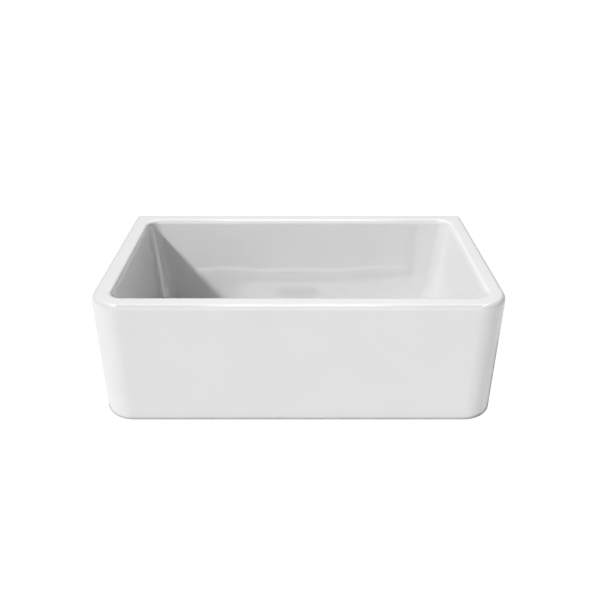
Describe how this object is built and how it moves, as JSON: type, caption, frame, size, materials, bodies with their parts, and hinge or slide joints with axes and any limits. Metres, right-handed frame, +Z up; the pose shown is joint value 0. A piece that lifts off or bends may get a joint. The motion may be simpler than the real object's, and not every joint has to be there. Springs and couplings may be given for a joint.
{
  "type": "farmhouse apron front sink",
  "caption": "Wide white fireclay kitchen sink with a plain apron front, a deep bowl and a basket strainer waste with a lift-out basket.",
  "frame": {"origin": "middle of the ground foot under the bowl, on the plane where the bowl rests on the cabinet deck; the waste hangs below it", "axes": "+X to the right seen from the front, along the apron; +Y to the back, so the apron faces -Y; +Z up, out of the bowl"},
  "size_m": [0.762, 0.452, 0.403],
  "materials": {
    "glaze": "gloss",
    "strainer_steel": "brushed",
    "post_steel": "satin",
    "knob_chrome": "polished",
    "plated_brass": "polished",
    "zinc": "die cast, bare",
    "gasket_rubber": "matt",
    "stopper_rubber": "matt",
    "fibre": "matt",
    "nylon": "matt"
  },
  "bodies": {
    "sink": {"sink_bowl": "glaze", "flange_gasket": "gasket_rubber", "strainer_cup": "strainer_steel", "strainer_spider": "strainer_steel", "outlet_nipple": "plated_brass", "rubber_washer": "gasket_rubber", "friction_ring": "fibre", "locknut": "zinc", "tailpiece_washer": "nylon", "tailpiece": "plated_brass", "coupling_nut": "zinc"},
    "basket": {"basket_cup": "strainer_steel", "basket_post": "post_steel", "basket_knob": "knob_chrome", "basket_stopper": "stopper_rubber", "stopper_washer": "strainer_steel", "stopper_nut": "post_steel"}
  },
  "joints": [
    {"name": "basket_lift", "type": "slide", "parent": "sink", "child": "basket", "axis": [0, 0, 1], "range_m": [0, 0.29]}
  ]
}
